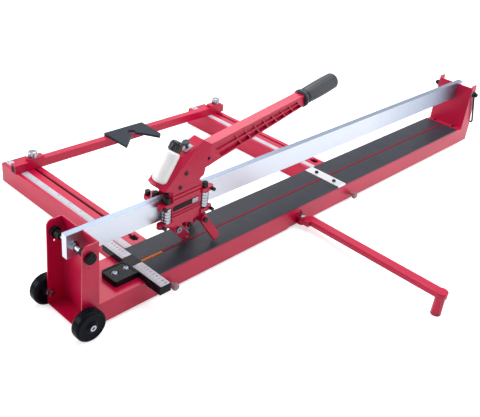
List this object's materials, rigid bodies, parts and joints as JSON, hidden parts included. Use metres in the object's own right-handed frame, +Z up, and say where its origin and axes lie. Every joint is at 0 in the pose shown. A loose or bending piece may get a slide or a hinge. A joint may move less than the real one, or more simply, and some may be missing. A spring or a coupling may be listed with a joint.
{
  "type": "manual tile cutter",
  "caption": "Manual tile cutter with a polished rail over a padded base, a lever carriage on rollers, slotted rear arms with a fence, a swing-out support and transport wheels.",
  "frame": {"origin": "on the ground under the middle of the base, at the rail's mid-plane", "axes": "+X along the rail away from the wheels, +Y towards the fence, +Z up"},
  "size_m": [1.692, 1.135, 0.3934],
  "materials": {
    "red_paint": "gloss",
    "polished_steel": "polished",
    "zinc": "bright",
    "aluminium": "satin",
    "slate_rubber": "matt",
    "black_rubber": "matt",
    "black_plastic": "satin",
    "slate_plastic": "satin",
    "white_plastic": "satin",
    "orange_plastic": "satin",
    "black_steel": "satin"
  },
  "bodies": {
    "base": {"base_channel": "red_paint", "base_crossbars": "red_paint", "base_feet": "black_rubber", "pads": "slate_rubber", "ridge": "red_paint", "ridge_insert": "orange_plastic", "joint_plate": "aluminium", "base_screws": "black_steel", "left_bracket": "red_paint", "right_bracket": "red_paint", "rail": "polished_steel", "rail_bolt_caps": "black_plastic", "frame_bolts": "zinc", "gauge_block": "black_plastic", "gauge_screws": "zinc", "gauge_ruler": "black_plastic", "scale_strips": "white_plastic", "left_arm": "red_paint", "right_arm": "red_paint", "arm_plugs": "black_plastic", "support_clevis": "red_paint", "support_bolt": "zinc"},
    "carriage": {"carriage_plates": "red_paint", "carriage_spacer": "red_paint", "roller_pins": "black_steel", "carriage_bolts": "black_steel", "label_plate": "black_plastic", "lever_housing": "red_paint", "lever_pin": "black_steel", "oil_bottle": "white_plastic", "adjuster_plate": "white_plastic", "holder_bolt": "zinc"},
    "lever": {"lever": "red_paint", "grip": "black_rubber"},
    "wheel_holder": {"wheel_holder": "red_paint", "wheel_axle": "zinc"},
    "breaker": {"breaker_legs": "red_paint", "breaker_pin": "black_steel"},
    "fence": {"fence_bar": "red_paint", "fence_caps": "black_plastic", "fence_plates": "red_paint", "fence_nuts": "zinc"},
    "support_arm": {"support_arm": "red_paint", "support_foot": "black_rubber"},
    "front_left_roller": {"front_left_roller": "zinc"},
    "front_right_roller": {"front_right_roller": "zinc"},
    "rear_left_roller": {"rear_left_roller": "zinc"},
    "rear_right_roller": {"rear_right_roller": "zinc"},
    "cutting_wheel": {"cutting_wheel": "polished_steel"},
    "bottle_cap": {"bottle_cap": "black_plastic"},
    "adjuster_knob": {"adjuster_knob": "black_plastic"},
    "left_fence_knob": {"left_fence_knob": "zinc"},
    "right_fence_knob": {"right_fence_knob": "zinc"},
    "fence_stop": {"fence_stop": "slate_plastic"},
    "fence_stop_screw": {"fence_stop_screw": "black_plastic"},
    "front_wheel": {"front_wheel": "black_rubber"},
    "rear_wheel": {"rear_wheel": "black_rubber"},
    "left_lock_screw": {"left_lock_screw": "black_plastic"},
    "right_lock_screw": {"right_lock_screw": "black_plastic"},
    "pull_bail": {"pull_bail": "black_steel"}
  },
  "joints": [
    {"name": "carriage_slide", "type": "slide", "parent": "base", "child": "carriage", "axis": [1, 0, 0], "range_m": [-0.12, 1.15]},
    {"name": "front_left_roller_spin", "type": "hinge", "parent": "carriage", "child": "front_left_roller", "pos_m": [-0.57, -0.0191, 0.179], "axis": [0, 0, 1], "continuous": true},
    {"name": "front_right_roller_spin", "type": "hinge", "parent": "carriage", "child": "front_right_roller", "pos_m": [-0.456, -0.0191, 0.179], "axis": [0, 0, 1], "continuous": true},
    {"name": "rear_left_roller_spin", "type": "hinge", "parent": "carriage", "child": "rear_left_roller", "pos_m": [-0.57, 0.0191, 0.179], "axis": [0, 0, 1], "continuous": true},
    {"name": "rear_right_roller_spin", "type": "hinge", "parent": "carriage", "child": "rear_right_roller", "pos_m": [-0.456, 0.0191, 0.179], "axis": [0, 0, 1], "continuous": true},
    {"name": "lever_hinge", "type": "hinge", "parent": "carriage", "child": "lever", "pos_m": [-0.452, 0, 0.286], "axis": [0, -1, 0], "range_deg": [0, 48]},
    {"name": "wheel_holder_swing", "type": "hinge", "parent": "carriage", "child": "wheel_holder", "pos_m": [-0.535, 0, 0.129], "axis": [0, -1, 0], "range_deg": [0, 8]},
    {"name": "cutting_wheel_spin", "type": "hinge", "parent": "wheel_holder", "child": "cutting_wheel", "pos_m": [-0.49, 0, 0.082], "axis": [0, 1, 0], "continuous": true},
    {"name": "breaker_hinge", "type": "hinge", "parent": "carriage", "child": "breaker", "pos_m": [-0.46, 0, 0.132], "axis": [0, -1, 0], "range_deg": [-5, 44]},
    {"name": "bottle_cap_turn", "type": "hinge", "parent": "carriage", "child": "bottle_cap", "pos_m": [-0.5815, 0, 0.257], "axis": [0.5299, 0, 0.848], "continuous": true},
    {"name": "adjuster_turn", "type": "hinge", "parent": "carriage", "child": "adjuster_knob", "pos_m": [-0.501, 0, 0.3168], "axis": [-0.3567, 0, 0.9342], "continuous": true},
    {"name": "fence_slide", "type": "slide", "parent": "base", "child": "fence", "axis": [0, 1, 0], "range_m": [-0.37, 0.035]},
    {"name": "left_fence_knob_turn", "type": "hinge", "parent": "fence", "child": "left_fence_knob", "pos_m": [-0.567, 0.534, 0.1], "axis": [0, 0, 1], "continuous": true},
    {"name": "right_fence_knob_turn", "type": "hinge", "parent": "fence", "child": "right_fence_knob", "pos_m": [0.1325, 0.534, 0.1], "axis": [0, 0, 1], "continuous": true},
    {"name": "fence_stop_slide", "type": "slide", "parent": "fence", "child": "fence_stop", "axis": [1, 0, 0], "range_m": [-0.21, 0.265]},
    {"name": "fence_stop_screw_turn", "type": "hinge", "parent": "fence_stop", "child": "fence_stop_screw", "pos_m": [-0.25, 0.556, 0.073], "axis": [0, 1, 0], "continuous": true},
    {"name": "support_swing", "type": "hinge", "parent": "base", "child": "support_arm", "pos_m": [-0.122, -0.072, 0.0235], "axis": [0, 0, 1], "range_deg": [-80, 25]},
    {"name": "front_wheel_spin", "type": "hinge", "parent": "base", "child": "front_wheel", "pos_m": [-0.82, -0.077, 0.0365], "axis": [0, 1, 0], "continuous": true},
    {"name": "rear_wheel_spin", "type": "hinge", "parent": "base", "child": "rear_wheel", "pos_m": [-0.82, 0.077, 0.0365], "axis": [0, 1, 0], "continuous": true},
    {"name": "left_lock_turn", "type": "hinge", "parent": "base", "child": "left_lock_screw", "pos_m": [-0.5845, -0.08, 0.021], "axis": [0, 1, 0], "continuous": true},
    {"name": "right_lock_turn", "type": "hinge", "parent": "base", "child": "right_lock_screw", "pos_m": [0.115, -0.08, 0.021], "axis": [0, 1, 0], "continuous": true},
    {"name": "bail_hinge", "type": "hinge", "parent": "base", "child": "pull_bail", "pos_m": [0.7835, 0, 0.1885], "axis": [0, -1, 0], "range_deg": [0, 110]}
  ],
  "couplings": [
    {"joint": "front_left_roller_spin", "follows": "carriage_slide", "rad_per_m": 90.909},
    {"joint": "front_right_roller_spin", "follows": "carriage_slide", "rad_per_m": 90.909},
    {"joint": "rear_left_roller_spin", "follows": "carriage_slide", "rad_per_m": -90.909},
    {"joint": "rear_right_roller_spin", "follows": "carriage_slide", "rad_per_m": -90.909}
  ]
}
